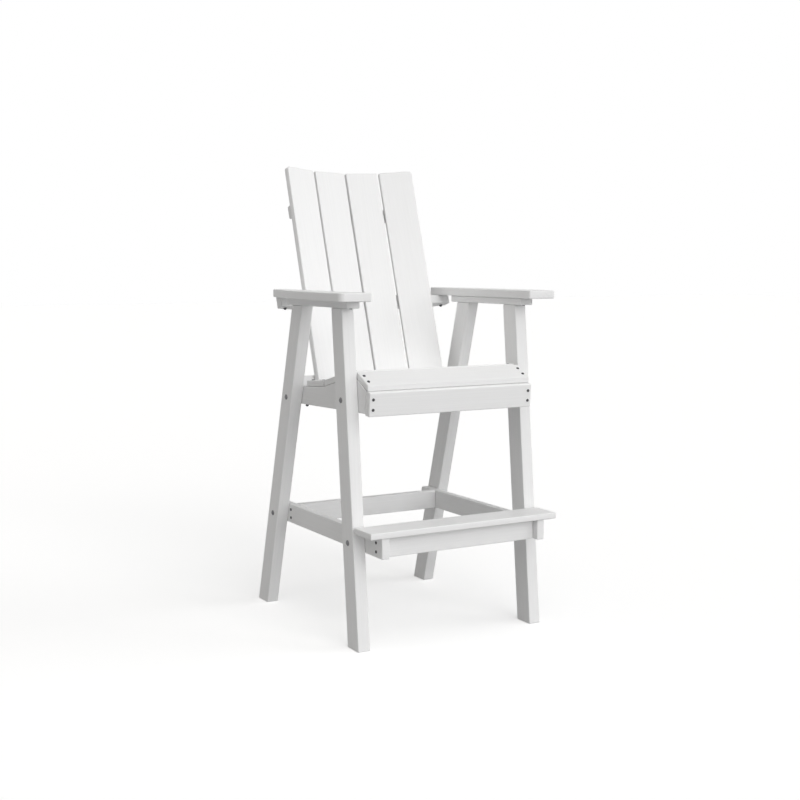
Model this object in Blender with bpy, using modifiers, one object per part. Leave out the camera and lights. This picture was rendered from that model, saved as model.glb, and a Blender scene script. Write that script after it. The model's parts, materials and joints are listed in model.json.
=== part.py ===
"""A tall patio chair of white poly lumber boards.

Four splayed legs carry two contoured seat rails, a ring of stretchers with a footrest, and two arms on cleats.
The back is coopered: four flat slats stand in an arc, and three cross rails are cut to seat their backs.

Metres, +Z up. The chair faces -Y. Side-view points are (y, z), with y = 0 at the toes of the front legs.
The root empty then moves the chair, so that the origin lies on the floor under the middle of its box.
"""

import math

import bmesh
import bpy
from mathutils import Matrix, Vector

# Board stock and fits
BOARD = 0.019
RAIL = 0.0254
LEG_WIDTH = 0.0397
LEG_DEPTH = 0.068
EASE = 0.003
EASE_STEPS = 2
EASE_ANGLE = math.radians(30)
TOUCH = 0.0003
SIDES = (("left", -1), ("right", 1))
QUARTER = math.pi / 2

# Legs
FRAME_WIDTH = 0.6476
LEG_HEIGHT = 0.9968
FRONT_LEAN = math.radians(5.5)
REAR_LEAN = math.radians(16.02)

# Seat, whose crest is the ridge of the rails under the joint of the nose slat and the front slat
SEAT_CREST_Y = 0.0895
SEAT_CREST_Z = 0.7958
RAIL_CREST_DEPTH = 0.1034
RAIL_FALL = math.radians(1.41)
NOSE_PITCH = math.radians(28)
NOSE_WIDTH = 0.0745
NOSE_GAP = 0.002
FRONT_SLAT_FALL = math.radians(10.2)
FRONT_SLAT_WIDTH = 0.1
MIDDLE_SLAT_FALL = math.radians(14)
MIDDLE_SLAT_WIDTH = 0.1055
REAR_SLAT_FALL = math.radians(4.5)
REAR_SLAT_WIDTH = 0.117
SEAT_SLAT_GAP = 0.004
SEAT_END_GAP = 0.0014
APRON_HEIGHT = 0.0723
APRON_LEAN = math.radians(4.7)
APRON_LEAD = 0.0215

# Back and the three rails behind it
BACK_SLAT_WIDTH = 0.1143
BACK_SLAT_GAP = 0.00635
BACK_CORNER_RADIUS = 0.011
BACK_STEP = math.radians(11.3)
RECLINE = math.radians(17.7)
BACK_RISE = 0.7
BACK_GAP = 0.0152
EDGE_GAP = 0.001
RAIL_SETBACK = 0.003
LOWER_RAIL_THICKNESS = 0.035
LOWER_RAIL_DEPTH = 0.0315
BRACE_THICKNESS = 0.028
BRACE_DEPTH = 0.0332
BATTEN_HEIGHT = 0.041
BATTEN_DEPTH = 0.0205
BATTEN_LEVEL = 0.5525
BATTEN_INSET = 0.002

# Arms and the cleats that carry them
ARM_WIDTH = 0.102
ARM_TAIL_WIDTH = 0.042
ARM_INSET = 0.0106
ARM_OVERHANG = 0.0912
ARM_STRAIGHT = 0.0955
ARM_TAIL = 0.025
ARM_OUTER_RADIUS = 0.0175
ARM_INNER_RADIUS = 0.005
ARM_TAIL_RADIUS = 0.01
CLEAT_WIDTH = 0.044
CLEAT_THICKNESS = 0.0205
CLEAT_OVERHANG = 0.035

# Stretchers and footrest
STRETCHER_BOTTOM = 0.285
STRETCHER_HEIGHT = 0.0615
FOOTREST_WIDTH = 0.1025
FOOTREST_OVERHANG = 0.0075
FOOTREST_LEG_GAP = 0.009
FOOTREST_STRETCHER_SETBACK = 0.0293
REAR_STRETCHER_GAP = 0.006

# Bolts with nuts through legs and rails, and lag screws up through rail and brace (diameters)
BOLT_SHANK = 0.0079
BOLT_HEAD = 0.0165
BOLT_DOME = 0.0045
BOLT_RIM = 0.0012
BOLT_END = 0.003
NUT_FLATS = 0.0127
NUT_HEIGHT = 0.0065
NUT_SIDES = 6
FRONT_BOLT_RISE = 0.0374
REAR_BOLT_RISE = 0.0221
STRETCHER_BOLT_RISE = 0.0285
REAR_BOLT_SETBACK = 0.0325
LAG_SHANK = 0.00635
LAG_HEAD = 0.011
LAG_DOME = 0.0065
LAG_BITE = 0.016
RAIL_LAG_INSET = 0.0075
ARM_LAG_INSET = 0.024
ARM_LAG_OFFSET = 0.019
TIP_CHAMFER = 0.001
BORE_CLEARANCE = 0.0003

# Fineness of curves
ROUND_STEPS = 20
ARC_STEPS = 16
CORNER_STEPS = 5
MERGE = 0.00003
FLAT_ANGLE = math.radians(0.05)

# Finishes: linear colour, roughness, metallic
LUMBER_FINISH = ((0.87, 0.87, 0.855, 1), 0.45, 0.0)
STEEL_FINISH = ((0.055, 0.055, 0.058, 1), 0.42, 0.85)


def along(angle, distance):
    """A step of this length in a plane, at this angle from the plane's first axis."""
    return Vector((math.cos(angle), math.sin(angle))) * distance


def meet(p, p_angle, q, q_angle):
    """Where two lines of a plane cross, each given by a point and its angle."""
    u = along(p_angle, 1)
    v = along(q_angle, 1)
    return p + u * ((q - p).cross(v) / u.cross(v))


class CrossBoard:
    """A board that lies across the chair, as seen from its end: its lower front corner and its angle."""

    def __init__(self, corner, angle, width, thickness=BOARD):
        self.corner = corner
        self.angle = angle
        self.width = width
        self.thickness = thickness

    def point(self, back, up):
        """The (y, z) this far behind the lower front corner and this far above the underside."""
        return self.corner + along(self.angle, back) + along(self.angle + QUARTER, up)

    def bearing(self):
        """The line on which the board rests: a point just under the lower front corner, and the angle."""
        return self.point(0, -TOUCH), self.angle

    def place(self, back=0.0):
        """The matrix of a mesh with x across the chair, y to the rear and z up, centred on the thickness."""
        y, z = self.point(back, self.thickness / 2)
        return Matrix.Translation((0, y, z)) @ Matrix.Rotation(self.angle, 4, "X")

    def followed_by(self, angle, width):
        """The next slat behind this one, with the seat's gap between their upper edges."""
        upper = self.point(self.width, self.thickness)
        upper += along((self.angle + angle) / 2, SEAT_SLAT_GAP)
        return CrossBoard(upper - along(angle + QUARTER, BOARD), angle, width)


# Distances from the middle of the chair to the faces of its sides
LEG_OUTER = FRAME_WIDTH / 2
LEG_INNER = LEG_OUTER - LEG_WIDTH
RAIL_X = LEG_INNER - TOUCH - RAIL / 2
RAIL_INNER = RAIL_X - RAIL / 2
SEAT_HALF = LEG_INNER - SEAT_END_GAP

# Seat in side view, worked out from its crest
CREST = Vector((SEAT_CREST_Y, SEAT_CREST_Z))
NOSE = CrossBoard(
    CREST - along(NOSE_PITCH, NOSE_GAP / 2 + NOSE_WIDTH) + along(NOSE_PITCH + QUARTER, TOUCH),
    NOSE_PITCH,
    NOSE_WIDTH,
)
FRONT_SLAT = CrossBoard(
    CREST + along(-FRONT_SLAT_FALL, NOSE_GAP / 2) + along(QUARTER - FRONT_SLAT_FALL, TOUCH),
    -FRONT_SLAT_FALL,
    FRONT_SLAT_WIDTH,
)
MIDDLE_SLAT = FRONT_SLAT.followed_by(-MIDDLE_SLAT_FALL, MIDDLE_SLAT_WIDTH)
REAR_SLAT = MIDDLE_SLAT.followed_by(-REAR_SLAT_FALL, REAR_SLAT_WIDTH)
APRON = CrossBoard(
    NOSE.corner - along(APRON_LEAN, APRON_LEAD) - along(APRON_LEAN + QUARTER, APRON_HEIGHT + TOUCH),
    APRON_LEAN,
    RAIL,
    APRON_HEIGHT,
)
RAIL_FOOT = CREST - Vector((0, RAIL_CREST_DEPTH))

# Back in plan, seen along the slats: x across, then distance behind the front faces at the middle
INNER_TURN = BACK_STEP / 2
OUTER_TURN = INNER_TURN + BACK_STEP
INNER_EDGE = Vector((BACK_SLAT_GAP / 2, 0))
OUTER_EDGE = (
    INNER_EDGE + along(-INNER_TURN, BACK_SLAT_WIDTH) + along(-BACK_STEP, BACK_SLAT_GAP)
)
OUTER_FRONT = OUTER_EDGE + along(-OUTER_TURN, BACK_SLAT_WIDTH)
OUTER_REAR = OUTER_FRONT + along(QUARTER - OUTER_TURN, BOARD)
BACK_BOW = BOARD - OUTER_REAR.y

# Back in side view: the rails lie square to the slats, a little behind the outer slats' rear corners
BACK_UP = QUARTER - RECLINE
BACK_FOOT = REAR_SLAT.point(REAR_SLAT_WIDTH, BOARD)
BACK_FOOT.x += BACK_GAP - OUTER_FRONT.y / math.cos(RECLINE)
RAIL_FRONT = (BACK_FOOT + along(-RECLINE, OUTER_REAR.y + RAIL_SETBACK), BACK_UP)
LOWER_RAIL = CrossBoard(
    meet(*RAIL_FRONT, REAR_SLAT.corner, -REAR_SLAT_FALL),
    -RECLINE,
    LOWER_RAIL_DEPTH,
    LOWER_RAIL_THICKNESS,
)
BACK_DROP = (BACK_FOOT - LOWER_RAIL.corner).dot(along(BACK_UP, 1))

# Legs in side view: the rear legs stand where the bolts behind the lower rail put them
FRONT_LEG_DEPTH = LEG_DEPTH / math.cos(FRONT_LEAN)
REAR_LEG_DEPTH = LEG_DEPTH / math.cos(REAR_LEAN)
FRONT_AXIS = (Vector((FRONT_LEG_DEPTH / 2, 0)), QUARTER - FRONT_LEAN)
FRONT_BOLT = meet(*FRONT_AXIS, RAIL_FOOT + Vector((0, FRONT_BOLT_RISE)), -RAIL_FALL)
REAR_BOLT = meet(
    LOWER_RAIL.corner + Vector((REAR_BOLT_SETBACK, 0)),
    QUARTER,
    RAIL_FOOT + Vector((0, REAR_BOLT_RISE)),
    -RAIL_FALL,
)
REAR_TOE = REAR_BOLT.x + REAR_BOLT.y * math.tan(REAR_LEAN) - REAR_LEG_DEPTH / 2
REAR_AXIS = (REAR_BOLT, QUARTER + REAR_LEAN)
REAR_LEG_BACK = (Vector((REAR_TOE + REAR_LEG_DEPTH, 0)), QUARTER + REAR_LEAN)

# Stretchers and footrest in side view
STRETCHER_TOP = STRETCHER_BOTTOM + STRETCHER_HEIGHT
STRETCHER_MIDDLE = STRETCHER_BOTTOM + STRETCHER_HEIGHT / 2
FOOTREST_BACK = STRETCHER_TOP * math.tan(FRONT_LEAN) - FOOTREST_LEG_GAP
FOOTREST_FRONT = FOOTREST_BACK - FOOTREST_WIDTH
STRETCHER_FRONT = FOOTREST_FRONT + FOOTREST_OVERHANG

# Arms, cleats and brace
CLEAT_BOTTOM = LEG_HEIGHT + TOUCH
ARM_BOTTOM = CLEAT_BOTTOM + CLEAT_THICKNESS + TOUCH
FRONT_LEG_TOP = LEG_HEIGHT * math.tan(FRONT_LEAN)
REAR_LEG_TOP = REAR_TOE - LEG_HEIGHT * math.tan(REAR_LEAN)
ARM_INNER = LEG_INNER - ARM_INSET
BRACE_HALF = ARM_INNER + ARM_TAIL_WIDTH
BRACE_TOP = Vector((0, ARM_BOTTOM - TOUCH))
BRACE = CrossBoard(
    meet(*RAIL_FRONT, BRACE_TOP, 0) - along(BACK_UP, BRACE_THICKNESS),
    -RECLINE,
    BRACE_DEPTH,
    BRACE_THICKNESS,
)


def clear_scene():
    for item in list(bpy.data.objects):
        bpy.data.objects.remove(item, do_unlink=True)


def new_collection(name):
    collection = bpy.data.collections.new(name)
    bpy.context.scene.collection.children.link(collection)
    return collection


def new_empty(name, parent, location, tilt=0.0):
    empty = bpy.data.objects.new(name, None)
    PARTS.objects.link(empty)
    empty.parent = parent
    empty.location = location
    empty.rotation_euler = (tilt, 0, 0)
    return empty


def new_material(name, finish):
    colour, roughness, metallic = finish
    material = bpy.data.materials.new(name)
    material.use_nodes = True
    shader = material.node_tree.nodes["Principled BSDF"]
    shader.inputs["Base Color"].default_value = colour
    shader.inputs["Roughness"].default_value = roughness
    shader.inputs["Metallic"].default_value = metallic
    return material


def new_part(name, mesh, place, material, parent=None):
    part = bpy.data.objects.new(name, mesh)
    PARTS.objects.link(part)
    part.parent = parent or ROOT
    part.matrix_local = place
    mesh.materials.append(material)
    return part


def new_cutter(name, mesh, place, parent=None):
    cutter = bpy.data.objects.new(name, mesh)
    CUTTERS.objects.link(cutter)
    cutter.parent = parent or ROOT
    cutter.matrix_local = place
    cutter.hide_render = True
    cutter.display_type = "WIRE"
    return cutter


def cut(part, cutter):
    modifier = part.modifiers.new(cutter.name, "BOOLEAN")
    modifier.operation = "DIFFERENCE"
    modifier.solver = "EXACT"
    modifier.object = cutter


def ease_edges(part):
    """Round every sharp edge, as poly lumber is moulded and routed."""
    modifier = part.modifiers.new("Eased edges", "BEVEL")
    modifier.width = EASE
    modifier.segments = EASE_STEPS
    modifier.limit_method = "ANGLE"
    modifier.angle_limit = EASE_ANGLE


def box_mesh(name, size):
    bm = bmesh.new()
    bmesh.ops.create_cube(bm, size=1, matrix=Matrix.Diagonal((*size, 1)))
    mesh = bpy.data.meshes.new(name)
    bm.to_mesh(mesh)
    bm.free()
    return mesh


def outline_mesh(name, outline, thickness):
    """A slab sawn to a closed outline, centred on its thickness."""
    curve = bpy.data.curves.new(name, "CURVE")
    curve.dimensions = "2D"
    curve.fill_mode = "BOTH"
    curve.extrude = thickness / 2
    spline = curve.splines.new("POLY")
    spline.points.add(len(outline) - 1)
    for point, (x, y) in zip(spline.points, outline):
        point.co = (x, y, 0, 1)
    spline.use_cyclic_u = True
    guide = bpy.data.objects.new(name, curve)
    CUTTERS.objects.link(guide)
    graph = bpy.context.evaluated_depsgraph_get()
    mesh = bpy.data.meshes.new_from_object(guide.evaluated_get(graph))
    bpy.data.objects.remove(guide)
    bm = bmesh.new()
    bm.from_mesh(mesh)
    bmesh.ops.remove_doubles(bm, verts=bm.verts, dist=MERGE)
    bmesh.ops.dissolve_limit(bm, angle_limit=FLAT_ANGLE, verts=bm.verts, edges=bm.edges)
    bmesh.ops.recalc_face_normals(bm, faces=bm.faces)
    bm.to_mesh(mesh)
    bm.free()
    return mesh


def turned_mesh(name, profile):
    """The half profile, from the top of the axis down the outer side, of a shape that Screw turns round Z."""
    bm = bmesh.new()
    points = [bm.verts.new((radius, 0, height)) for radius, height in profile]
    for upper, lower in zip(points, points[1:]):
        bm.edges.new((upper, lower))
    mesh = bpy.data.meshes.new(name)
    bm.to_mesh(mesh)
    bm.free()
    return mesh


def cylinder_mesh(name, radius, height, sides):
    """A prism with regular ends, whose first end is at the origin and whose second is at +Z."""
    bm = bmesh.new()
    bmesh.ops.create_cone(
        bm,
        cap_ends=True,
        segments=sides,
        radius1=radius,
        radius2=radius,
        depth=height,
        matrix=Matrix.Translation((0, 0, height / 2)),
    )
    mesh = bpy.data.meshes.new(name)
    bm.to_mesh(mesh)
    bm.free()
    return mesh


def plain_board(name, size, place, parent=None):
    board = new_part(name, box_mesh(name, size), place, LUMBER, parent)
    ease_edges(board)
    return board


def sawn_board(name, outline, thickness, place, parent=None):
    board = new_part(name, outline_mesh(name, outline, thickness), place, LUMBER, parent)
    ease_edges(board)
    return board


def side_place(x):
    """Stand an outline drawn in side view on this side of the chair."""
    return Matrix.Translation((x, 0, 0)) @ Matrix(
        ((0, 0, 1, 0), (1, 0, 0, 0), (0, 1, 0, 0), (0, 0, 0, 1))
    )


def arc_points(centre, radius, start, end, steps):
    return [
        centre + along(start + (end - start) * step / steps, radius) for step in range(steps + 1)
    ]


def bowed_edge(half, base, bow):
    """Points from +half to -half, on an arc that stands this far beyond its chord in the middle."""
    radius = (half**2 + bow**2) / (2 * bow)
    spread = math.asin(half / radius)
    centre = Vector((0, base + bow - radius))
    return arc_points(centre, radius, QUARTER - spread, QUARTER + spread, ARC_STEPS)


def rounded_corner(before, corner, after, radius):
    """The arc that rounds one corner of an outline."""
    to_before = (before - corner).normalized()
    to_after = (after - corner).normalized()
    half_angle = to_before.angle(to_after) / 2
    middle = corner + (to_before + to_after).normalized() * radius / math.sin(half_angle)
    first = corner + to_before * radius / math.tan(half_angle) - middle
    last = corner + to_after * radius / math.tan(half_angle) - middle
    turn = first.angle_signed(last)
    start = math.atan2(first.y, first.x)
    return arc_points(middle, radius, start, start - turn, CORNER_STEPS)


def leg_outline(toe, depth, shift):
    return [(toe, 0), (toe + depth, 0), (toe + depth + shift, LEG_HEIGHT), (toe + shift, LEG_HEIGHT)]


def make_legs():
    middle = (LEG_OUTER + LEG_INNER) / 2
    front = leg_outline(0, FRONT_LEG_DEPTH, FRONT_LEG_TOP)
    rear = leg_outline(REAR_TOE, REAR_LEG_DEPTH, REAR_LEG_TOP - REAR_TOE)
    for side, sign in SIDES:
        sawn_board("front_leg_" + side, front, LEG_WIDTH, side_place(sign * middle))
        sawn_board("rear_leg_" + side, rear, LEG_WIDTH, side_place(sign * middle))


def make_seat_rails():
    """The rails' tops follow the slats' undersides, and fall behind them to seat the lower back rail."""
    apron_back = (APRON.point(APRON.width + TOUCH, 0), APRON_LEAN + QUARTER)
    foot = (RAIL_FOOT, -RAIL_FALL)
    bearings = [board.bearing() for board in (NOSE, FRONT_SLAT, MIDDLE_SLAT, REAR_SLAT, LOWER_RAIL)]
    sides = [apron_back, *bearings, REAR_LEG_BACK, foot]
    outline = [meet(*line, *following) for line, following in zip(sides, sides[1:] + sides[:1])]
    for side, sign in SIDES:
        sawn_board("seat_rail_" + side, outline, RAIL, side_place(sign * RAIL_X))


def make_seat():
    for name, board in (
        ("seat_apron", APRON),
        ("seat_nose_slat", NOSE),
        ("seat_slat_front", FRONT_SLAT),
        ("seat_slat_middle", MIDDLE_SLAT),
    ):
        size = (2 * SEAT_HALF, board.width, board.thickness)
        plain_board(name, size, board.place(board.width / 2))
    stub = OUTER_FRONT.x + EDGE_GAP
    outline = [
        Vector((-SEAT_HALF, REAR_SLAT_WIDTH)),
        Vector((-SEAT_HALF, 0)),
        Vector((SEAT_HALF, 0)),
        Vector((SEAT_HALF, REAR_SLAT_WIDTH)),
        *bowed_edge(stub, REAR_SLAT_WIDTH, -OUTER_FRONT.y),
    ]
    sawn_board("seat_slat_rear", outline, BOARD, REAR_SLAT.place())


def slat_outline(outer):
    """A back slat from the front: the top corner on its outer side (-1 or 1, 0 for neither) is rounded."""
    half = BACK_SLAT_WIDTH / 2
    outline = [
        Vector((-half, -BACK_DROP)),
        Vector((half, -BACK_DROP)),
        Vector((half, BACK_RISE)),
        Vector((-half, BACK_RISE)),
    ]
    right = rounded_corner(*outline[1:], BACK_CORNER_RADIUS)
    left = [Vector((-point.x, point.y)) for point in reversed(right)]
    return [
        *outline[:2],
        *(right if outer > 0 else outline[2:3]),
        *(left if outer < 0 else outline[3:]),
    ]


def make_back():
    slats = (
        (-OUTER_TURN, OUTER_EDGE),
        (-INNER_TURN, INNER_EDGE),
        (INNER_TURN, INNER_EDGE),
        (OUTER_TURN, OUTER_EDGE),
    )
    for number, (turn, edge) in enumerate(slats, start=1):
        size_turn = abs(turn)
        centre = edge + along(-size_turn, BACK_SLAT_WIDTH / 2) + along(QUARTER - size_turn, BOARD / 2)
        place = Matrix.Translation((math.copysign(centre.x, turn), centre.y, 0))
        place @= Matrix.Rotation(-turn, 4, "Z") @ Matrix.Rotation(QUARTER, 4, "X")
        outline = slat_outline(turn if edge is OUTER_EDGE else 0)
        sawn_board("back_slat_" + str(number), outline, BOARD, place, BACK)


def slat_space():
    """The cutter that clears the slats and all in front of them, so that the rails seat their backs."""
    inner = (INNER_EDGE + along(QUARTER - INNER_TURN, BOARD + TOUCH), -INNER_TURN)
    outer = (OUTER_EDGE + along(QUARTER - OUTER_TURN, BOARD + TOUCH), -OUTER_TURN)
    ridge = meet(*inner, Vector((0, 0)), QUARTER)
    corner = OUTER_REAR + along(-OUTER_TURN, EDGE_GAP) + along(QUARTER - OUTER_TURN, TOUCH)
    half = [meet(*inner, *outer), corner, corner - Vector((0, BACK_BOW))]
    outline = [ridge, *half, *[Vector((-point.x, point.y)) for point in reversed(half)]]
    length = BACK_RISE + 2 * BACK_DROP
    place = Matrix.Translation((0, 0, (BACK_RISE - 2 * BACK_DROP) / 2))
    return new_cutter("slat_space", outline_mesh("slat_space", outline, length), place, BACK)


def bowed_outline(half, front, depth):
    """A cross rail in plan: a straight front, and a rear edge that follows the arc of the slats."""
    return [Vector((-half, front)), Vector((half, front)), *bowed_edge(half, front + depth, BACK_BOW)]


def level_top(board):
    """Slope the top of a board that lies square to the back, so that it ends up level and seats the arms."""
    for vertex in board.data.vertices:
        if vertex.co.z > 0:
            vertex.co.z += vertex.co.y * math.tan(RECLINE)


def make_back_rails():
    space = slat_space()
    lower = bowed_outline(SEAT_HALF, 0, LOWER_RAIL_DEPTH)
    brace = bowed_outline(BRACE_HALF, 0, BRACE_DEPTH)
    batten_front = OUTER_REAR.y - 2 * EASE
    batten_depth = BATTEN_DEPTH + 2 * EASE
    batten = bowed_outline(OUTER_REAR.x - BATTEN_INSET, batten_front, batten_depth)
    level = Matrix.Translation((0, 0, BATTEN_LEVEL))
    for rail in (
        sawn_board("lower_back_rail", lower, LOWER_RAIL_THICKNESS, LOWER_RAIL.place()),
        sawn_board("arm_brace", brace, BRACE_THICKNESS, BRACE.place()),
        sawn_board("upper_batten", batten, BATTEN_HEIGHT, level, BACK),
    ):
        cut(rail, space)
    level_top(bpy.data.objects["arm_brace"])


def arm_outline(sign):
    """The arm in plan: straight inside, and outside an arc that narrows it towards its tail."""
    front = FRONT_LEG_TOP - ARM_OVERHANG
    tail = BRACE.point(BRACE_DEPTH, BRACE_THICKNESS).x + ARM_TAIL
    narrowing = ARM_WIDTH - ARM_TAIL_WIDTH
    length = tail - front - ARM_STRAIGHT
    radius = (length**2 + narrowing**2) / (2 * narrowing)
    centre = Vector((ARM_INNER + ARM_WIDTH - radius, front + ARM_STRAIGHT))
    taper = arc_points(centre, radius, 0, math.asin(length / radius), ARC_STEPS)
    front_outer = Vector((ARM_INNER + ARM_WIDTH, front))
    front_inner = Vector((ARM_INNER, front))
    tail_inner = Vector((ARM_INNER, tail))
    outline = [
        *rounded_corner(front_inner, front_outer, taper[0], ARM_OUTER_RADIUS),
        *taper[:-1],
        *rounded_corner(taper[-2], taper[-1], tail_inner, ARM_TAIL_RADIUS),
        *rounded_corner(taper[-1], tail_inner, front_inner, ARM_TAIL_RADIUS),
        *rounded_corner(tail_inner, front_inner, front_outer, ARM_INNER_RADIUS),
    ]
    return [Vector((sign * point.x, point.y)) for point in outline]


def make_arms():
    cleat_front = FRONT_LEG_TOP - CLEAT_OVERHANG
    cleat_back = REAR_LEG_TOP + REAR_LEG_DEPTH + CLEAT_OVERHANG
    cleat_size = (CLEAT_WIDTH, cleat_back - cleat_front, CLEAT_THICKNESS)
    cleat_y = (cleat_front + cleat_back) / 2
    cleat_x = (LEG_OUTER + LEG_INNER) / 2
    arm_place = Matrix.Translation((0, 0, ARM_BOTTOM + RAIL / 2))
    for side, sign in SIDES:
        cleat_place = Matrix.Translation((sign * cleat_x, cleat_y, CLEAT_BOTTOM + CLEAT_THICKNESS / 2))
        plain_board("arm_cleat_" + side, cleat_size, cleat_place)
        sawn_board("arm_" + side, arm_outline(sign), RAIL, arm_place)


def make_footrest():
    front = (Vector((STRETCHER_FRONT, 0)), QUARTER)
    bottom = (Vector((0, STRETCHER_BOTTOM)), 0)
    top = (Vector((0, STRETCHER_TOP)), 0)
    sides = [front, bottom, REAR_LEG_BACK, top]
    outline = [meet(*line, *following) for line, following in zip(sides, sides[1:] + sides[:1])]
    for side, sign in SIDES:
        sawn_board("side_stretcher_" + side, outline, RAIL, side_place(sign * RAIL_X))
    cross_size = (2 * (RAIL_INNER - TOUCH), RAIL, STRETCHER_HEIGHT)
    front_y = FOOTREST_FRONT + FOOTREST_STRETCHER_SETBACK + RAIL / 2
    rear_y = REAR_TOE - STRETCHER_MIDDLE * math.tan(REAR_LEAN) - REAR_STRETCHER_GAP - RAIL / 2
    for name, y in (("footrest_stretcher", front_y), ("rear_stretcher", rear_y)):
        plain_board(name, cross_size, Matrix.Translation((0, y, STRETCHER_MIDDLE)))
    board_size = (2 * LEG_OUTER, FOOTREST_WIDTH, BOARD)
    board_y = (FOOTREST_FRONT + FOOTREST_BACK) / 2
    board_z = STRETCHER_TOP + TOUCH + BOARD / 2
    plain_board("footrest_board", board_size, Matrix.Translation((0, board_y, board_z)))


def turned_part(name, profile, place):
    part = new_part(name, turned_mesh(name, profile), place, STEEL)
    modifier = part.modifiers.new("Turned", "SCREW")
    modifier.axis = "Z"
    modifier.steps = ROUND_STEPS
    modifier.render_steps = ROUND_STEPS
    modifier.use_merge_vertices = True
    modifier.merge_threshold = MERGE
    modifier.use_smooth_shade = True
    return part


def fastener_profile(head, dome, rim, shank, length):
    """A domed head above z = 0 and a shank with a chamfered end below it, as radius and height."""
    cap = dome - rim
    cap_radius = (head**2 / 4 + cap**2) / (2 * cap)
    spread = math.asin(head / 2 / cap_radius)
    top = Vector((0, dome - cap_radius))
    crown = arc_points(top, cap_radius, QUARTER, QUARTER - spread, CORNER_STEPS)
    return [
        (0, dome),
        *[tuple(point) for point in crown[1:]],
        (head / 2, 0),
        (shank / 2, 0),
        (shank / 2, TIP_CHAMFER - length),
        (shank / 2 - TIP_CHAMFER, -length),
        (0, -length),
    ]


def bore(name, shank, length, place):
    """The cutter of a hole that clears a shank, from a little above its head down to its end."""
    radius = shank / 2 + BORE_CLEARANCE
    mesh = cylinder_mesh(name, radius, length + LEG_DEPTH, ROUND_STEPS)
    return new_cutter(name, mesh, place @ Matrix.Translation((0, 0, -length)))


def make_bolts():
    """Each bolt runs in through leg and rail, with its nut on the rail's inner face."""
    low = (Vector((0, STRETCHER_BOTTOM + STRETCHER_BOLT_RISE)), 0)
    rear_low = meet(*REAR_AXIS, *low)
    front_low = meet(*FRONT_AXIS, *low)
    shank = LEG_OUTER + TOUCH - RAIL_INNER + TOUCH + NUT_HEIGHT + BOLT_END
    profile = fastener_profile(BOLT_HEAD, BOLT_DOME, BOLT_RIM, BOLT_SHANK, shank)
    nut_radius = NUT_FLATS / 2 / math.cos(math.pi / NUT_SIDES)
    for name, point, leg, rail in (
        ("seat_front", FRONT_BOLT, "front_leg_", "seat_rail_"),
        ("seat_rear", REAR_BOLT, "rear_leg_", "seat_rail_"),
        ("stretcher_front", front_low, "front_leg_", "side_stretcher_"),
        ("stretcher_rear", rear_low, "rear_leg_", "side_stretcher_"),
    ):
        for side, sign in SIDES:
            outwards = Matrix.Rotation(sign * QUARTER, 4, "Y")
            head = Matrix.Translation((sign * (LEG_OUTER + TOUCH), point.x, point.y)) @ outwards
            turned_part(name + "_bolt_" + side, profile, head)
            hole = bore(name + "_bore_" + side, BOLT_SHANK, shank + BOLT_END, head)
            nut_name = name + "_nut_" + side
            nut_mesh = cylinder_mesh(nut_name, nut_radius, NUT_HEIGHT, NUT_SIDES)
            seat = Matrix.Translation((sign * (RAIL_INNER - TOUCH), point.x, point.y)) @ outwards
            nut_place = seat @ Matrix.Translation((0, 0, -NUT_HEIGHT))
            nut = new_part(nut_name, nut_mesh, nut_place, STEEL)
            for part in (bpy.data.objects[leg + side], bpy.data.objects[rail + side], nut):
                cut(part, hole)


def make_lag_screw(name, x, seat, grip, boards):
    """A lag screw from below, square to the rails of the back: it holds the first board to the second."""
    length = grip + LAG_BITE
    profile = fastener_profile(LAG_HEAD, LAG_DOME, BOLT_RIM, LAG_SHANK, length)
    head_down = Matrix.Rotation(math.pi - RECLINE, 4, "X")
    place = Matrix.Translation((x, seat.x, seat.y)) @ head_down
    turned_part(name, profile, place)
    hole = bore(name + "_bore", LAG_SHANK, length + BOLT_END, place)
    for board in boards:
        cut(bpy.data.objects[board], hole)


def make_lag_screws():
    """One pair holds the lower rail down to the seat rails, and the other holds the brace up to the arms."""
    rail_top = LOWER_RAIL.point(RAIL_LAG_INSET, 0)
    rail_seat = meet(rail_top, BACK_UP, RAIL_FOOT, -RAIL_FALL)
    head_drop = LAG_HEAD / 2 * math.tan(RECLINE - RAIL_FALL)
    rail_seat -= along(BACK_UP, head_drop + TOUCH)
    brace_seat = BRACE.point(ARM_LAG_INSET, -TOUCH)
    arm_face = meet(brace_seat, BACK_UP, Vector((0, ARM_BOTTOM)), 0)
    for side, sign in SIDES:
        make_lag_screw(
            "back_rail_lag_screw_" + side,
            sign * RAIL_X,
            rail_seat,
            (rail_top - rail_seat).length,
            ("seat_rail_" + side, "lower_back_rail"),
        )
        make_lag_screw(
            "arm_lag_screw_" + side,
            sign * (ARM_INNER + ARM_LAG_OFFSET),
            brace_seat,
            (arm_face - brace_seat).length,
            ("arm_brace", "arm_" + side),
        )


def shade_turned_parts():
    for part in PARTS.objects:
        if any(modifier.type == "SCREW" for modifier in part.modifiers):
            part.data.shade_smooth()


def centre_chair():
    """Move the root so that the finished boards reach as far in front of the origin as behind it."""
    bpy.context.view_layer.update()
    graph = bpy.context.evaluated_depsgraph_get()
    reach = []
    for part in PARTS.objects:
        if part.type == "MESH":
            finished = part.evaluated_get(graph)
            mesh = finished.to_mesh()
            reach.extend((finished.matrix_world @ vertex.co).y for vertex in mesh.vertices)
            finished.to_mesh_clear()
    ROOT.location.y = -(min(reach) + max(reach)) / 2


clear_scene()
PARTS = new_collection("tall_patio_chair")
CUTTERS = new_collection("cutters")
LUMBER = new_material("white_poly_lumber", LUMBER_FINISH)
STEEL = new_material("dark_coated_steel", STEEL_FINISH)
ROOT = new_empty("chair_root", None, (0, 0, 0))
BACK = new_empty("back_frame", ROOT, (0, BACK_FOOT.x, BACK_FOOT.y), -RECLINE)

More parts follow.
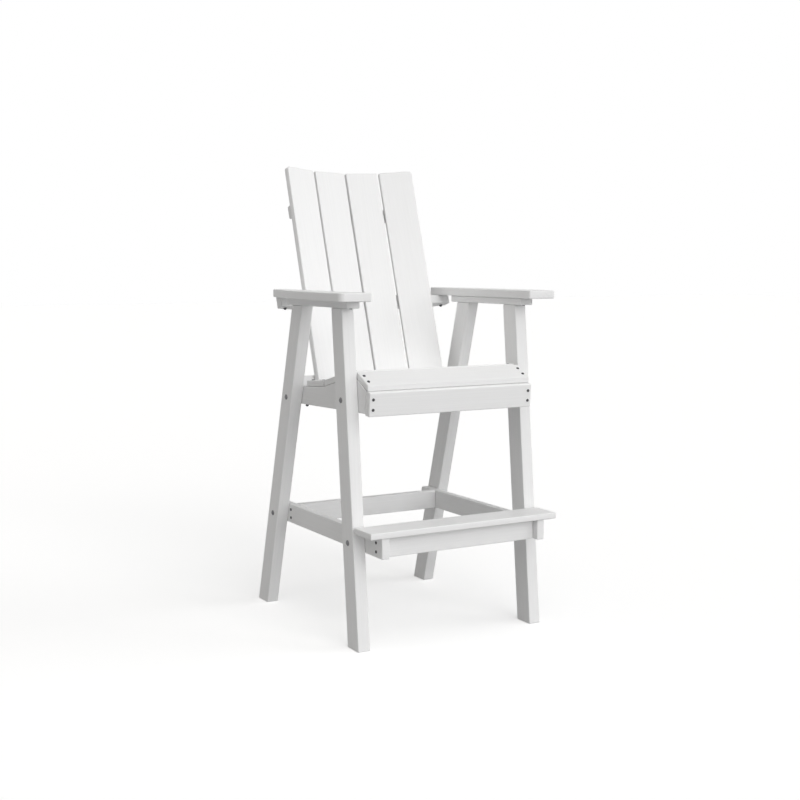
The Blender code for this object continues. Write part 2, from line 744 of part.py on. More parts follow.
make_legs()
make_seat_rails()
make_seat()
make_back()
make_back_rails()
make_arms()
make_footrest()
make_bolts()
make_lag_screws()
shade_turned_parts()
centre_chair()
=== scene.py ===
# %% [markdown]
# # A tall patio chair of white plastic lumber
#
# The chair is a stack of eased boards: splayed legs, a dished seat, a back of four slats set like the
# staves of a barrel, broad arms and a footrest. The boards come in ready-made, from the solids of the
# chair, so this lesson is about what a photograph adds to them: soft corners, real plastic and steel,
# every screw, and studio light.

# %% Load the chair
import json
import math

import bpy
import numpy as np
from mathutils import Matrix, Vector

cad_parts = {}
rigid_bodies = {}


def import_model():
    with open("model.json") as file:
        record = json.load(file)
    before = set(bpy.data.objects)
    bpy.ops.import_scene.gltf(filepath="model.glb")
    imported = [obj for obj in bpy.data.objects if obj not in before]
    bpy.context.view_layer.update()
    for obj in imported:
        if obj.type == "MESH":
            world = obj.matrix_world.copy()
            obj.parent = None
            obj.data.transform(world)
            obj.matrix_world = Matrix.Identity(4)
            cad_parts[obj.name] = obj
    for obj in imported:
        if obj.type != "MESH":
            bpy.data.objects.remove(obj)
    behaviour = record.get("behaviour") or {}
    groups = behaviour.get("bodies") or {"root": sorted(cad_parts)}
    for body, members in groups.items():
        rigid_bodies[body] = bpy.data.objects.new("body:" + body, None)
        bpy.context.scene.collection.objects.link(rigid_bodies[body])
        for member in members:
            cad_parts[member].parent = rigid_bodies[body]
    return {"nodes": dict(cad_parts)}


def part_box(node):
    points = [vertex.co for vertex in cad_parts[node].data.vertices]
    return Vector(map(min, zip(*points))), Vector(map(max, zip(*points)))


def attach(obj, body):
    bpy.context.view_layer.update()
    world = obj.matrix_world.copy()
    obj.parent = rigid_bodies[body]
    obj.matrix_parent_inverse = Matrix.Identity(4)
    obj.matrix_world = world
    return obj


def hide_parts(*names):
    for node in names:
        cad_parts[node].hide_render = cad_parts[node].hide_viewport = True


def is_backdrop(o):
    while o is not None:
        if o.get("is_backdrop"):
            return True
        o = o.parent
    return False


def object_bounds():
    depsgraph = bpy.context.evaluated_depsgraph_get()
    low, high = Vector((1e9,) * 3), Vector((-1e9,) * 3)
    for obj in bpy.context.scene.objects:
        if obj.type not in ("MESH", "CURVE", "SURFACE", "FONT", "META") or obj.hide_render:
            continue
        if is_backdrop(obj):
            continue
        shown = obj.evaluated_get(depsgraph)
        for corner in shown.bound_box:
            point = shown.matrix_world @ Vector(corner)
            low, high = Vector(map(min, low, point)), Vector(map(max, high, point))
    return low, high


for leftover in list(bpy.data.objects):
    bpy.data.objects.remove(leftover)

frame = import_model()
nodes = frame["nodes"]
solid_low, solid_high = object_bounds()
MM = 0.001
STEEL_WORDS = ("bolt", "nut", "lag_screw")
steel_names = sorted(name for name in nodes if any(word in name for word in STEEL_WORDS))
board_names = sorted(set(nodes) - set(steel_names))
print("boards:", len(board_names), "steel pieces:", len(steel_names))
print("chair, mm:", [round(side / MM) for side in solid_high - solid_low])

# %% [markdown]
# ## The camera
#
# The photograph looks down a little on the chair's front left corner, from about four metres. A long
# lens keeps the legs nearly parallel. Setting the camera first means that every later step can be judged
# in the same frame.

# %% Stand the camera where the photographer stood
CAMERA_PLACE = (-2.0361, -3.556, 1.1326)
CAMERA_TILT = math.radians(83.875)
CAMERA_TURN = math.radians(-29.783)
CAMERA_SENSOR = 36
CAMERA_LENS = 58.21
camera_data = bpy.data.cameras.new("studio_camera")
camera_data.sensor_width = CAMERA_SENSOR
camera_data.lens = CAMERA_LENS
camera = bpy.data.objects.new("studio_camera", camera_data)
bpy.context.scene.collection.objects.link(camera)
camera.location = CAMERA_PLACE
camera.rotation_euler = (CAMERA_TILT, 0, CAMERA_TURN)
bpy.context.scene.camera = camera
print("camera to chair, m:", round(math.hypot(*CAMERA_PLACE[:2]), 2))

# %% [markdown]
# ## Soft corners
#
# Plastic lumber leaves its mould and router with rounded edges, and a thin highlight runs along each one.
# The solids have that rounding in two facets. A node group welds each board's triangles and shades all
# but its sharp edges smooth, and Weighted Normal then keeps the broad faces flat, so the facets read as
# one round.


# %% One function to add a node
def add_node(tree, kind, settings=None, values=None, links=None):
    """Add a node, set its properties and its sockets' values, and feed sockets from other outputs."""
    node = tree.nodes.new(kind)
    for name, value in (settings or {}).items():
        setattr(node, name, value)
    for socket, value in (values or {}).items():
        node.inputs[socket].default_value = value
    for socket, source in (links or {}).items():
        tree.links.new(source, node.inputs[socket])
    return node


# %% Build the group that welds and shades
WELD = 0.02 * MM
SHARP_EDGE = math.radians(50)
corners = bpy.data.node_groups.new("soft_corners", "GeometryNodeTree")
corners.interface.new_socket("Board", in_out="INPUT", socket_type="NodeSocketGeometry")
corners.interface.new_socket("Board", in_out="OUTPUT", socket_type="NodeSocketGeometry")
board_in = add_node(corners, "NodeGroupInput")
welded = add_node(
    corners,
    "GeometryNodeMergeByDistance",
    values={"Distance": WELD},
    links={"Geometry": board_in.outputs[0]},
)
round_faces = add_node(
    corners,
    "GeometryNodeSetShadeSmooth",
    settings={"domain": "FACE"},
    links={"Geometry": welded.outputs[0]},
)
fold = add_node(corners, "GeometryNodeInputMeshEdgeAngle")
gentle = add_node(
    corners,
    "FunctionNodeCompare",
    settings={"data_type": "FLOAT", "operation": "LESS_THAN"},
    values={1: SHARP_EDGE},
    links={0: fold.outputs[0]},
)
round_edges = add_node(
    corners,
    "GeometryNodeSetShadeSmooth",
    settings={"domain": "EDGE"},
    links={"Geometry": round_faces.outputs[0], "Shade Smooth": gentle.outputs[0]},
)
add_node(corners, "NodeGroupOutput", links={0: round_edges.outputs[0]})


# %% Soften every piece
def keep_faces_flat(piece):
    """Let the broad faces decide how a piece is shaded."""
    even = piece.modifiers.new("even_faces", "WEIGHTED_NORMAL")
    even.keep_sharp = True


def soften(piece):
    """Give a piece its soft corners."""
    weld = piece.modifiers.new("soft_corners", "NODES")
    weld.node_group = corners
    keep_faces_flat(piece)


for name in board_names + steel_names:
    soften(nodes[name])
print("pieces with soft corners:", len(nodes))

# %% [markdown]
# ## White plastic lumber
#
# The boards are high-density polyethylene, coloured all through, extruded and planed. The eye sees a
# satin white that is never quite even: faint lines run along each board from the extruder, and a fine
# matt tooth breaks up the shine. A noise that is stretched along the board gives the lines, so each
# direction of board has its own copy of the finish, turned to lie along it.


# %% Colours from hex values
def linear(hex_colour):
    """Turn an sRGB hex value into the linear colour that a shader takes."""
    channels = [int(hex_colour[i : i + 2], 16) / 255 for i in (1, 3, 5)]
    return [c / 12.92 if c <= 0.04045 else ((c + 0.055) / 1.055) ** 2.4 for c in channels] + [1]


# %% The planed finish
LINE_LENGTH = 260 * MM
LINE_WIDTH = 3.5 * MM
LINE_DEPTH = 0.12 * MM
TOOTH = 1.6 * MM  # a real tooth of about 0.2 mm is too fine to show, so it is drawn coarser
TOOTH_DEPTH = 0.06 * MM
NOISE_LOW = 0.3  # a noise seldom leaves the range from low to high
NOISE_HIGH = 0.7
SHINIEST = 0.42
DULLEST = 0.54
PLASTIC_IOR = 1.54


def planed_hdpe(name, direction):
    """Planed white HDPE whose extrusion lines run this way."""
    finish = bpy.data.materials.new(name)
    finish.use_nodes = True
    tree = finish.node_tree
    shader = tree.nodes["Principled BSDF"]
    place = add_node(tree, "ShaderNodeTexCoord")
    along_board = add_node(
        tree,
        "ShaderNodeMapping",
        settings={"vector_type": "TEXTURE"},
        values={
            "Rotation": direction.to_track_quat("X", "Z").to_euler(),
            "Scale": (LINE_LENGTH, LINE_WIDTH, LINE_WIDTH),
        },
        links={"Vector": place.outputs["Object"]},
    )
    lines = add_node(
        tree,
        "ShaderNodeTexNoise",
        values={"Scale": 1, "Detail": 3, "Roughness": 0.6},
        links={"Vector": along_board.outputs[0]},
    )
    tooth = add_node(
        tree,
        "ShaderNodeTexNoise",
        values={"Scale": 1 / TOOTH, "Detail": 2, "Roughness": 0.5},
        links={"Vector": place.outputs["Object"]},
    )
    tint = add_node(tree, "ShaderNodeValToRGB", links={"Fac": lines.outputs[0]})
    tint.color_ramp.elements[0].position = NOISE_LOW
    tint.color_ramp.elements[0].color = linear("#EEEEEE")
    tint.color_ramp.elements[1].position = NOISE_HIGH
    tint.color_ramp.elements[1].color = linear("#F2F2F2")
    sheen = add_node(
        tree,
        "ShaderNodeMapRange",
        values={"From Min": NOISE_LOW, "From Max": NOISE_HIGH, "To Min": SHINIEST, "To Max": DULLEST},
        links={"Value": lines.outputs[0]},
    )
    grooves = add_node(
        tree,
        "ShaderNodeBump",
        values={"Strength": 0.35, "Distance": LINE_DEPTH},
        links={"Height": lines.outputs[0]},
    )
    surface = add_node(
        tree,
        "ShaderNodeBump",
        values={"Strength": 0.3, "Distance": TOOTH_DEPTH},
        links={"Height": tooth.outputs[0], "Normal": grooves.outputs[0]},
    )
    shader.inputs["IOR"].default_value = PLASTIC_IOR
    tree.links.new(tint.outputs[0], shader.inputs["Base Color"])
    tree.links.new(sheen.outputs[0], shader.inputs["Roughness"])
    tree.links.new(surface.outputs[0], shader.inputs["Normal"])
    return finish


# %% Lay the finish along every board
MAINLY = 0.9


def board_direction(name):
    """The direction in which a board is longest."""
    points = np.array([vertex.co for vertex in nodes[name].data.vertices])
    spread = np.linalg.svd(points - points.mean(axis=0), full_matrices=False)[2][0]
    return Vector(spread if spread[np.argmax(np.abs(spread))] > 0 else -spread)


finishes = {}
for name in board_names:
    direction = board_direction(name)
    lean = math.degrees(math.atan2(direction.y, direction.z))
    if abs(direction.x) > MAINLY:
        way = "across"
        direction = Vector((1, 0, 0))
    elif abs(direction.y) > MAINLY:
        way = "fore_and_aft"
        direction = Vector((0, 1, 0))
    else:
        way = "upright_leaning_%d" % round(lean)
    if way not in finishes:
        finishes[way] = planed_hdpe("planed_white_hdpe_" + way, direction)
        print(way, [round(part, 3) for part in direction])
    nodes[name].material_slots[0].material = finishes[way]

# %% [markdown]
# ## Coated steel
#
# The screws are steel with a dark, satin zinc-nickel coat, and the bolts and nuts are plain grey zinc.
# Both are still metal to the eye: a domed head mirrors the white room, but darkly, and has a broad glint
# from each softbox. A coat from a bath is a little mottled, so its grey and its dullness waver together.

# %% The two coats
MOTTLE = 2.2 * MM
DARK_AT = 0.3
PALE_AT = 0.75
COAT_SHINIEST = 0.24
COAT_DULLEST = 0.36


def coated_steel(name, dark_grey, pale_grey):
    """Steel whose coat wavers between two greys."""
    finish = bpy.data.materials.new(name)
    finish.use_nodes = True
    tree = finish.node_tree
    shader = tree.nodes["Principled BSDF"]
    place = add_node(tree, "ShaderNodeTexCoord")
    mottle = add_node(
        tree,
        "ShaderNodeTexNoise",
        values={"Scale": 1 / MOTTLE, "Detail": 3, "Roughness": 0.55},
        links={"Vector": place.outputs["Object"]},
    )
    coat = add_node(tree, "ShaderNodeValToRGB", links={"Fac": mottle.outputs[0]})
    coat.color_ramp.elements[0].position = DARK_AT
    coat.color_ramp.elements[0].color = linear(dark_grey)
    coat.color_ramp.elements[1].position = PALE_AT
    coat.color_ramp.elements[1].color = linear(pale_grey)
    dullness = add_node(
        tree,
        "ShaderNodeMapRange",
        values={"To Min": COAT_SHINIEST, "To Max": COAT_DULLEST},
        links={"Value": mottle.outputs[0]},
    )
    shader.inputs["Metallic"].default_value = 1
    tree.links.new(coat.outputs[0], shader.inputs["Base Color"])
    tree.links.new(dullness.outputs[0], shader.inputs["Roughness"])
    return finish


dark_steel = coated_steel("dark_coated_steel", "#4A4A4C", "#5E5E60")
grey_steel = coated_steel("grey_zinc_steel", "#5E5E60", "#747476")
for name in steel_names:
    nodes[name].material_slots[0].material = dark_steel if "lag_screw" in name else grey_steel

# %% [markdown]
# ## Turned fasteners
#
# Screws and bolts are turned shapes. By hand, one adds a disc, extrudes it along its axis and scales it,
# again and again, as a lathe would step along the bar. A function that walks through a list of radii and
# heights does the same, and closes the piece with a last flat disc.


# %% A lathe made of extrudes
def turned(name, rings, sides):
    """Extrude and scale a disc through these rings of radius and height, from the lowest up."""
    bpy.ops.object.select_all(action="DESELECT")
    radius, height = rings[0]
    bpy.ops.mesh.primitive_circle_add(
        vertices=sides, radius=radius, fill_type="NGON", location=(0, 0, height)
    )
    piece = bpy.context.object
    piece.name = name
    piece.data.name = name
    bpy.ops.object.transform_apply(location=True)
    bpy.ops.object.mode_set(mode="EDIT")
    bpy.ops.mesh.select_all(action="SELECT")
    for next_radius, next_height in rings[1:]:
        bpy.ops.mesh.extrude_region_move(
            TRANSFORM_OT_translate={"value": (0, 0, next_height - height)}
        )
        step = next_radius / radius
        bpy.ops.transform.resize(value=(step, step, 1), center_override=(0, 0, next_height))
        radius, height = next_radius, next_height
    bpy.ops.mesh.select_all(action="SELECT")
    bpy.ops.mesh.normals_make_consistent(inside=False)
    bpy.ops.object.mode_set(mode="OBJECT")
    return piece


# %% The other shop tools
SMOOTH_BELOW = math.radians(40)


def pick(piece):
    """Select one piece alone, as a click does."""
    bpy.ops.object.select_all(action="DESELECT")
    bpy.context.view_layer.objects.active = piece
    piece.select_set(True)


def carve(piece, cutter, operation="DIFFERENCE"):
    """Cut a piece with a modelled shape, and throw the cutter away."""
    pick(piece)
    modifier = piece.modifiers.new("carve", "BOOLEAN")
    modifier.operation = operation
    modifier.solver = "EXACT"
    modifier.object = cutter
    bpy.ops.object.modifier_apply(modifier=modifier.name)
    bpy.data.objects.remove(cutter)


def shade(piece, angle=SMOOTH_BELOW):
    """Shade a piece smooth across all edges that fold less than this."""
    pick(piece)
    bpy.ops.object.shade_smooth_by_angle(angle=angle)


def place_fastener(model, name, place):
    """Put a copy of a fastener, with a mesh of its own, in its place on the chair."""
    copy = bpy.data.objects.new(name, model.data.copy())
    bpy.context.scene.collection.objects.link(copy)
    copy.data.transform(place)
    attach(copy, "root")
    return copy


# %% [markdown]
# ## The screws
#
# Every slat, apron and stretcher is held by pan-head screws, two to a joint. A screw is modelled once: a
# low head with a rounded rim and a square socket for the driver. Only the head shows, so the shank is
# left out.

# %% Model one screw head
SCREW_HEAD = 9.0 * MM
SCREW_RISE = 2.2 * MM
SCREW_SINK = 0.3 * MM
SCREW_SIDES = 32
RIM_SHARE = 0.6  # how much of the rise is rounded
RIM_STEPS = 4
SOCKET = 3.1 * MM
SOCKET_DEPTH = 1.4 * MM
half_head = SCREW_HEAD / 2
rim_radius = SCREW_RISE * RIM_SHARE
rings = [(half_head, -SCREW_SINK)]
for step in range(RIM_STEPS + 1):
    angle = math.pi / 2 * step / RIM_STEPS
    radius = half_head - rim_radius * (1 - math.cos(angle))
    rings.append((radius, SCREW_RISE - rim_radius * (1 - math.sin(angle))))
screw = turned("pan_head_screw", rings, SCREW_SIDES)
bpy.ops.object.select_all(action="DESELECT")
bpy.ops.mesh.primitive_cylinder_add(
    vertices=4,
    radius=SOCKET / math.sqrt(2),
    depth=2 * SOCKET_DEPTH,
    location=(0, 0, SCREW_RISE),
)
carve(screw, bpy.context.object)
shade(screw)
screw.data.materials.append(dark_steel)
print("screw head faces:", len(screw.data.polygons))

# %% [markdown]
# A screw has to sit on the board that it holds, and the boards lean. A ray that is shot at the board
# finds the place and the slope there, and the copy is turned until its axis stands square to the face.


# %% Screw down the seat
screws = []


def drive_screw(node, start, aim):
    """Set a screw where a ray from start, along aim, meets the board."""
    hit, spot, normal, _ = nodes[node].ray_cast(Vector(start), Vector(aim))
    if not hit:
        raise ValueError(f"no board of {node} under the screw at {start}")
    place = Matrix.Translation(spot) @ normal.to_track_quat("Z", "Y").to_matrix().to_4x4()
    screws.append(place_fastener(screw, f"screw_{node}_{len(screws) + 1}", place))


FAR = 2.0
BACKWARD = (0, 1, 0)
DOWN = (0, 0, -1)
UP = (0, 0, 1)
SCREW_X = 270.4 * MM
APRON_SCREWS = (737 * MM, 707 * MM)  # heights above the floor
NOSE_SCREWS = (17 * MM, 44.1 * MM)  # from the slat's foremost point
SLAT_EDGE = 22 * MM
REAR_SLAT_SCREWS = (SLAT_EDGE, 95 * MM)  # clear of the back slats, which stand on the rest
for x in (-SCREW_X, SCREW_X):
    for z in APRON_SCREWS:
        drive_screw("seat_apron", (x, -FAR, z), BACKWARD)
    low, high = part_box("seat_nose_slat")
    for inset in NOSE_SCREWS:
        drive_screw("seat_nose_slat", (x, low.y + inset, FAR), DOWN)
    for node in ("seat_slat_front", "seat_slat_middle"):
        low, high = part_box(node)
        for y in (low.y + SLAT_EDGE, high.y - SLAT_EDGE):
            drive_screw(node, (x, y, FAR), DOWN)
    low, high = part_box("seat_slat_rear")
    for inset in REAR_SLAT_SCREWS:
        drive_screw("seat_slat_rear", (x, low.y + inset, FAR), DOWN)
print("screws in the seat:", len(screws))

# %% Screw the side stretchers to the cross stretchers
STRETCHER_SCREW_STEP = 13.3 * MM
for side, outward in (("left", -1), ("right", 1)):
    node = "side_stretcher_" + side
    for cross in ("footrest_stretcher", "rear_stretcher"):
        low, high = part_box(cross)
        middle = (low + high) / 2
        for z in (middle.z - STRETCHER_SCREW_STEP, middle.z + STRETCHER_SCREW_STEP):
            drive_screw(node, (outward * FAR, middle.y, z), (-outward, 0, 0))
print("screws so far:", len(screws))

# %% [markdown]
# The fronts of the back slats are clean, so their screws come from behind, through each of the three
# rails. The arms are clean on top too, and are held from below through the ends of the cleats.

# %% Screw the slats from behind and the arms from below
RECLINE = math.radians(17.7)
SLAT_SCREW_STEP = 28 * MM
BEHIND = 0.2
inwards = Vector((0, -math.cos(RECLINE), math.sin(RECLINE)))
for rail in ("lower_back_rail", "arm_brace", "upper_batten"):
    low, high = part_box(rail)
    height = Vector((0, (low.y + high.y) / 2, (low.z + high.z) / 2))
    for slat in range(1, 5):
        slat_low, slat_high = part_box("back_slat_%d" % slat)
        for step in (-SLAT_SCREW_STEP, SLAT_SCREW_STEP):
            x = (slat_low.x + slat_high.x) / 2 + step
            drive_screw(rail, height + Vector((x, 0, 0)) - inwards * BEHIND, inwards)
CLEAT_SCREW_INSET = 16 * MM
for side in ("left", "right"):
    low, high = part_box("arm_cleat_" + side)
    x = (low.x + high.x) / 2
    for y in (low.y + CLEAT_SCREW_INSET, high.y - CLEAT_SCREW_INSET):
        drive_screw("arm_cleat_" + side, (x, y, 0), UP)
bpy.data.objects.remove(screw)
print("all screws:", len(screws))

# %% [markdown]
# ## The foot of the nose slat
#
# The nose slat slopes, and its solid is a plain board that meets the apron only along a line: daylight
# would show through the joint. In the photograph the slat's front is nearly plumb, bright, and ends in
# one thin dark line, so the real board is planed to stand on the apron. A copy of the slat is welded, its
# lower front edge is moved out over the apron, and the points behind that edge are pulled down to bear
# on it.


# %% Copy and weld the nose slat
def select_near(piece, line, reach):
    """Select the points that lie within reach of a line across the chair."""
    for vertex in piece.data.vertices:
        off = vertex.co - line
        vertex.select = math.hypot(off.y, off.z) < reach


planed_slat = bpy.data.objects.new("fine_seat_nose_slat", nodes["seat_nose_slat"].data.copy())
bpy.context.scene.collection.objects.link(planed_slat)
pick(planed_slat)
bpy.ops.object.mode_set(mode="EDIT")
bpy.ops.mesh.select_all(action="SELECT")
bpy.ops.mesh.remove_doubles(threshold=WELD)
bpy.ops.mesh.select_all(action="DESELECT")
bpy.ops.object.mode_set(mode="OBJECT")
NOSE_PITCH = math.radians(28)
slat_front = Vector((0, -math.cos(NOSE_PITCH), -math.sin(NOSE_PITCH)))
slat_below = Vector((0, math.sin(NOSE_PITCH), -math.cos(NOSE_PITCH)))
points = [vertex.co.copy() for vertex in planed_slat.data.vertices]
foremost = max(point.dot(slat_front) for point in points)
lowest = max(point.dot(slat_below) for point in points)
corner = slat_front * foremost + slat_below * lowest
print("corner to move, mm:", [round(part / MM, 1) for part in corner])

# %% Plane it to stand on the apron
APRON_LEAN = math.radians(4.7)
EDGE_ROUND = 3 * MM
EDGE_REACH = 1.5 * EDGE_ROUND
EDGE_LEAD = 6 * MM
ROW_REACH = 0.7 * MM
ROW_DROP = 1.34 * MM
apron_front = Vector((0, -math.cos(APRON_LEAN), -math.sin(APRON_LEAN)))
apron_up = Vector((0, -math.sin(APRON_LEAN), math.cos(APRON_LEAN)))
select_near(planed_slat, corner, EDGE_REACH)
bpy.ops.object.mode_set(mode="EDIT")
bpy.ops.transform.translate(value=apron_front * EDGE_LEAD)
bpy.ops.mesh.select_all(action="DESELECT")
bpy.ops.object.mode_set(mode="OBJECT")
select_near(planed_slat, corner + apron_front * EDGE_LEAD - slat_front * EDGE_ROUND, ROW_REACH)
bpy.ops.object.mode_set(mode="EDIT")
bpy.ops.transform.translate(value=-apron_up * ROW_DROP)
bpy.ops.object.mode_set(mode="OBJECT")
soften(planed_slat)
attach(planed_slat, "root")
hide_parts("seat_nose_slat")
print("nose slat points:", len(planed_slat.data.vertices))

# %% [markdown]
# ## The apron's round top
#
# The photograph has a broad highlight along the apron's top front edge, where the sitter's legs rest: it
# is rounded twice as far as the other edges. A cube is drawn out to the board's size, that one edge gets
# the wide bevel and the rest the common one, and the board is then leaned back and put in the solid's
# place.

# %% Draw a cube out to the apron's size
points = [vertex.co.copy() for vertex in nodes["seat_apron"].data.vertices]
fronts = [point.dot(apron_front) for point in points]
heights = [point.dot(apron_up) for point in points]
low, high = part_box("seat_apron")
size = Vector((high.x - low.x, max(fronts) - min(fronts), max(heights) - min(heights)))
bpy.ops.object.select_all(action="DESELECT")
bpy.ops.mesh.primitive_cube_add(size=1)
apron = bpy.context.object
apron.name = "fine_seat_apron"
bpy.ops.object.mode_set(mode="EDIT")
bpy.ops.mesh.select_all(action="SELECT")
bpy.ops.transform.resize(value=size, center_override=(0, 0, 0))
bpy.ops.mesh.select_all(action="DESELECT")
bpy.ops.object.mode_set(mode="OBJECT")
print("apron, mm:", [round(part / MM, 1) for part in size])

# %% Round its edges and lean it back
APRON_ROUND = 6 * MM
ROUND_STEPS = 6
EASE_STEPS = 3
STILL_SHARP = math.radians(60)
for edge in apron.data.edges:
    ends = [apron.data.vertices[index].co for index in edge.vertices]
    edge.select = all(end.y < 0 and end.z > 0 for end in ends)
bpy.ops.object.mode_set(mode="EDIT")
bpy.ops.mesh.select_mode(type="EDGE")
bpy.ops.mesh.bevel(offset=APRON_ROUND, segments=ROUND_STEPS)
bpy.ops.mesh.select_all(action="DESELECT")
bpy.ops.mesh.edges_select_sharp(sharpness=STILL_SHARP)
bpy.ops.mesh.bevel(offset=EDGE_ROUND, segments=EASE_STEPS)
bpy.ops.mesh.select_all(action="SELECT")
bpy.ops.transform.rotate(value=-APRON_LEAN, orient_axis="X", center_override=(0, 0, 0))
middle_front = (max(fronts) + min(fronts)) / 2
middle_height = (max(heights) + min(heights)) / 2
bpy.ops.transform.translate(value=apron_front * middle_front + apron_up * middle_height)
bpy.ops.mesh.select_mode(type="VERT")
bpy.ops.object.mode_set(mode="OBJECT")
shade(apron)
keep_faces_flat(apron)
apron.data.materials.append(finishes["across"])
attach(apron, "root")
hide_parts("seat_apron")
top = max(vertex.co.z for vertex in apron.data.vertices)
print("apron's top off the solid's, mm:", round((top - high.z) / MM, 2))

# %% [markdown]
# ## Bolts and nuts
#
# A carriage bolt with a smooth domed head goes through each leg and the rail or stretcher inside it, and
# a hexagon nut closes it. The solids have plain ones. Here the bolt's tip gets its thread, and the nut
# its chamfered corners.

# %% Model one bolt
bolt_low, bolt_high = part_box("seat_front_bolt_left")
leg_low, leg_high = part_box("front_leg_left")
BOLT_HEAD = bolt_high.z - bolt_low.z
BOLT_DOME = leg_low.x - bolt_low.x
BOLT_LENGTH = bolt_high.x - leg_low.x
BOLT_SHANK = 7.9 * MM
BOLT_RIM = 1.2 * MM
BOLT_SIDES = 40
DOME_STEPS = 10
THREAD_PITCH = 1.25 * MM
THREAD_DEPTH = 0.55 * MM
THREAD_TURNS = 9
CREST_FROM = 0.45 * THREAD_PITCH
CREST_TO = 0.55 * THREAD_PITCH
tip = BOLT_SHANK / 2
root = tip - THREAD_DEPTH
rings = [(root, -BOLT_LENGTH)]
for turn in range(THREAD_TURNS):
    z = -BOLT_LENGTH + turn * THREAD_PITCH
    rings += [(tip, z + CREST_FROM), (tip, z + CREST_TO), (root, z + THREAD_PITCH)]
rings += [(tip, rings[-1][1] + THREAD_PITCH / 2), (tip, 0)]
rings += [(BOLT_HEAD / 2, 0), (BOLT_HEAD / 2, BOLT_RIM)]
crown = BOLT_DOME - BOLT_RIM
crown_radius = (BOLT_HEAD**2 / 4 + crown**2) / (2 * crown)
crown_spread = math.asin(BOLT_HEAD / 2 / crown_radius)
for step in range(1, DOME_STEPS):
    angle = crown_spread * (1 - step / DOME_STEPS)
    rings.append((crown_radius * math.sin(angle), BOLT_DOME - crown_radius * (1 - math.cos(angle))))
bolt = turned("carriage_bolt", rings, BOLT_SIDES)
shade(bolt)
bolt.data.materials.append(grey_steel)
print("bolt faces:", len(bolt.data.polygons))

# %% Model one nut
nut_low, nut_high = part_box("seat_front_nut_left")
NUT_FLATS = nut_high.z - nut_low.z
NUT_HEIGHT = nut_high.x - nut_low.x
NUT_CHAMFER = 0.9 * MM
NUT_FACE = 0.98 * NUT_FLATS  # the round face that the chamfer leaves
NUT_PLAY = 0.1 * MM
NUT_SMOOTH_BELOW = math.radians(30)
TURNING_SIDES = 48
nut_corner = NUT_FLATS / 2 / math.cos(math.pi / 6)
past_corner = 1.02 * nut_corner
bpy.ops.object.select_all(action="DESELECT")
bpy.ops.mesh.primitive_cylinder_add(
    vertices=6, radius=nut_corner, depth=NUT_HEIGHT, location=(0, 0, -NUT_HEIGHT / 2)
)
nut = bpy.context.object
nut.name = "hexagon_nut"
bpy.ops.object.transform_apply(location=True)
turning_rings = [
    (NUT_FACE / 2, -NUT_HEIGHT),
    (past_corner, -NUT_HEIGHT + NUT_CHAMFER),
    (past_corner, 1 * MM),
]
carve(nut, turned("nut_turning", turning_rings, TURNING_SIDES), "INTERSECT")
bpy.ops.object.select_all(action="DESELECT")
bpy.ops.mesh.primitive_cylinder_add(vertices=BOLT_SIDES, radius=tip + NUT_PLAY, depth=4 * NUT_HEIGHT)
carve(nut, bpy.context.object)
shade(nut, NUT_SMOOTH_BELOW)
nut.data.materials.append(grey_steel)
print("nut faces:", len(nut.data.polygons))

# %% Put the bolts and nuts in place of the plain ones
for name in steel_names:
    if "lag_screw" in name:
        continue
    low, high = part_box(name)
    outward = 1 if name.endswith("_right") else -1
    outer_face = high.x if outward > 0 else low.x
    model = bolt if "_bolt_" in name else nut
    seat = outer_face - outward * BOLT_DOME if model is bolt else outer_face
    there = Matrix.Translation((seat, (low.y + high.y) / 2, (low.z + high.z) / 2))
    outwards = Matrix.Rotation(outward * math.pi / 2, 4, "Y")
    copy = place_fastener(model, "fine_" + name, there @ outwards)
    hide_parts(name)
for model in (bolt, nut):
    bpy.data.objects.remove(model)

# %% [markdown]
# ## The studio
#
# A white sweep of paper, a room with pale walls and four soft lights: a low softbox and a high one in
# front, a third at the right, and a broad, slightly warm reflector at the left. Far, broad suns stand in
# for them, so that the paper is lit evenly and stays white up to the horizon, with a soft shadow under
# the chair. The camera sees paper and room as white, straight or mirrored in a bolt's head, but as lights
# for the boards they are dimmer.


# %% Which rays see the studio's white
def seen_white(tree):
    """1 for rays that show the studio, straight, mirrored or through glass, and 0 for rays of light."""
    ray = add_node(tree, "ShaderNodeLightPath")
    seen = ray.outputs["Is Camera Ray"]
    for kind in ("Is Glossy Ray", "Is Transmission Ray"):
        either = add_node(
            tree,
            "ShaderNodeMath",
            settings={"operation": "MAXIMUM"},
            links={0: seen, 1: ray.outputs[kind]},
        )
        seen = either.outputs[0]
    return seen


# %% The floor
FLOOR_SIZE = 60
FLOOR_PAPER = 0.8
FLOOR_GLOW = 0.447
FLOOR_BOUNCE = 0.5
bpy.ops.object.select_all(action="DESELECT")
bpy.ops.mesh.primitive_plane_add(size=FLOOR_SIZE)
floor = bpy.context.object
floor.name = "studio_floor"
floor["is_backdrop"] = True
paper = bpy.data.materials.new("white_paper_sweep")
paper.use_nodes = True
tree = paper.node_tree
tree.nodes.clear()
seen = seen_white(tree)
whiteness = add_node(
    tree,
    "ShaderNodeMapRange",
    values={"To Min": FLOOR_BOUNCE, "To Max": FLOOR_PAPER},
    links={"Value": seen},
)
matt = add_node(tree, "ShaderNodeBsdfDiffuse", links={"Color": whiteness.outputs[0]})
glow_level = add_node(
    tree,
    "ShaderNodeMath",
    settings={"operation": "MULTIPLY"},
    values={1: FLOOR_GLOW},
    links={0: seen},
)
glow = add_node(tree, "ShaderNodeEmission", links={"Strength": glow_level.outputs[0]})
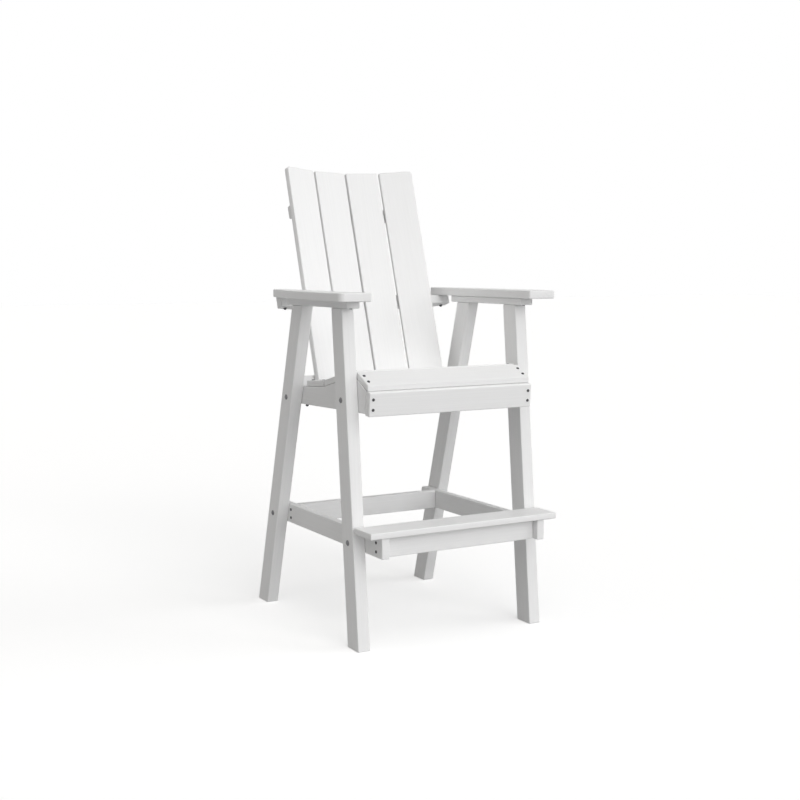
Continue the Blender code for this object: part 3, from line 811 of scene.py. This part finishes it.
both = add_node(tree, "ShaderNodeAddShader", links={0: matt.outputs[0], 1: glow.outputs[0]})
add_node(tree, "ShaderNodeOutputMaterial", links={"Surface": both.outputs[0]})
floor.data.materials.append(paper)

# %% The room
ROOM_LIGHT = 0.159
ROOM_WHITE = 1.0
world = bpy.data.worlds.new("white_room")
world.use_nodes = True
tree = world.node_tree
tree.nodes.clear()
level = add_node(
    tree,
    "ShaderNodeMapRange",
    values={"To Min": ROOM_LIGHT, "To Max": ROOM_WHITE},
    links={"Value": seen_white(tree)},
)
room = add_node(
    tree,
    "ShaderNodeBackground",
    values={"Color": linear("#FFFFFF")},
    links={"Strength": level.outputs[0]},
)
add_node(tree, "ShaderNodeOutputWorld", links={"Surface": room.outputs[0]})
bpy.context.scene.world = world


# %% The softboxes
def softbox(name, azimuth, elevation, spread, strength, colour="#FFFFFF"):
    """A far lamp, this many degrees wide, at an azimuth from +X and an elevation above the floor."""
    lamp_data = bpy.data.lights.new(name, "SUN")
    lamp_data.angle = math.radians(spread)
    lamp_data.energy = strength
    lamp_data.color = linear(colour)[:3]
    lamp = bpy.data.objects.new(name, lamp_data)
    bpy.context.scene.collection.objects.link(lamp)
    turn = math.radians(azimuth)
    rise = math.radians(elevation)
    level = math.cos(rise)
    to_lamp = Vector((math.cos(turn) * level, math.sin(turn) * level, math.sin(rise)))
    lamp.rotation_euler = to_lamp.to_track_quat("Z", "Y").to_euler()


softbox("low_softbox", azimuth=270, elevation=20, spread=40, strength=1.037)
softbox("high_softbox", azimuth=270, elevation=60, spread=60, strength=0.779)
softbox("right_softbox", azimuth=330, elevation=20, spread=40, strength=0.823)
softbox("left_reflector", azimuth=180, elevation=50, spread=90, strength=0.493, colour="#FFFCF6")
bpy.context.scene.view_settings.view_transform = "Standard"

# %% [markdown]
# ## Measure the dressed chair
#
# The dressed chair must not outgrow its solids, so the growth of its box over theirs is printed.

# %% Finish
dressed_low, dressed_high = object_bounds()
growth = (dressed_high - dressed_low) - (solid_high - solid_low)
print("grown by, mm:", [round(side / MM, 1) for side in growth])
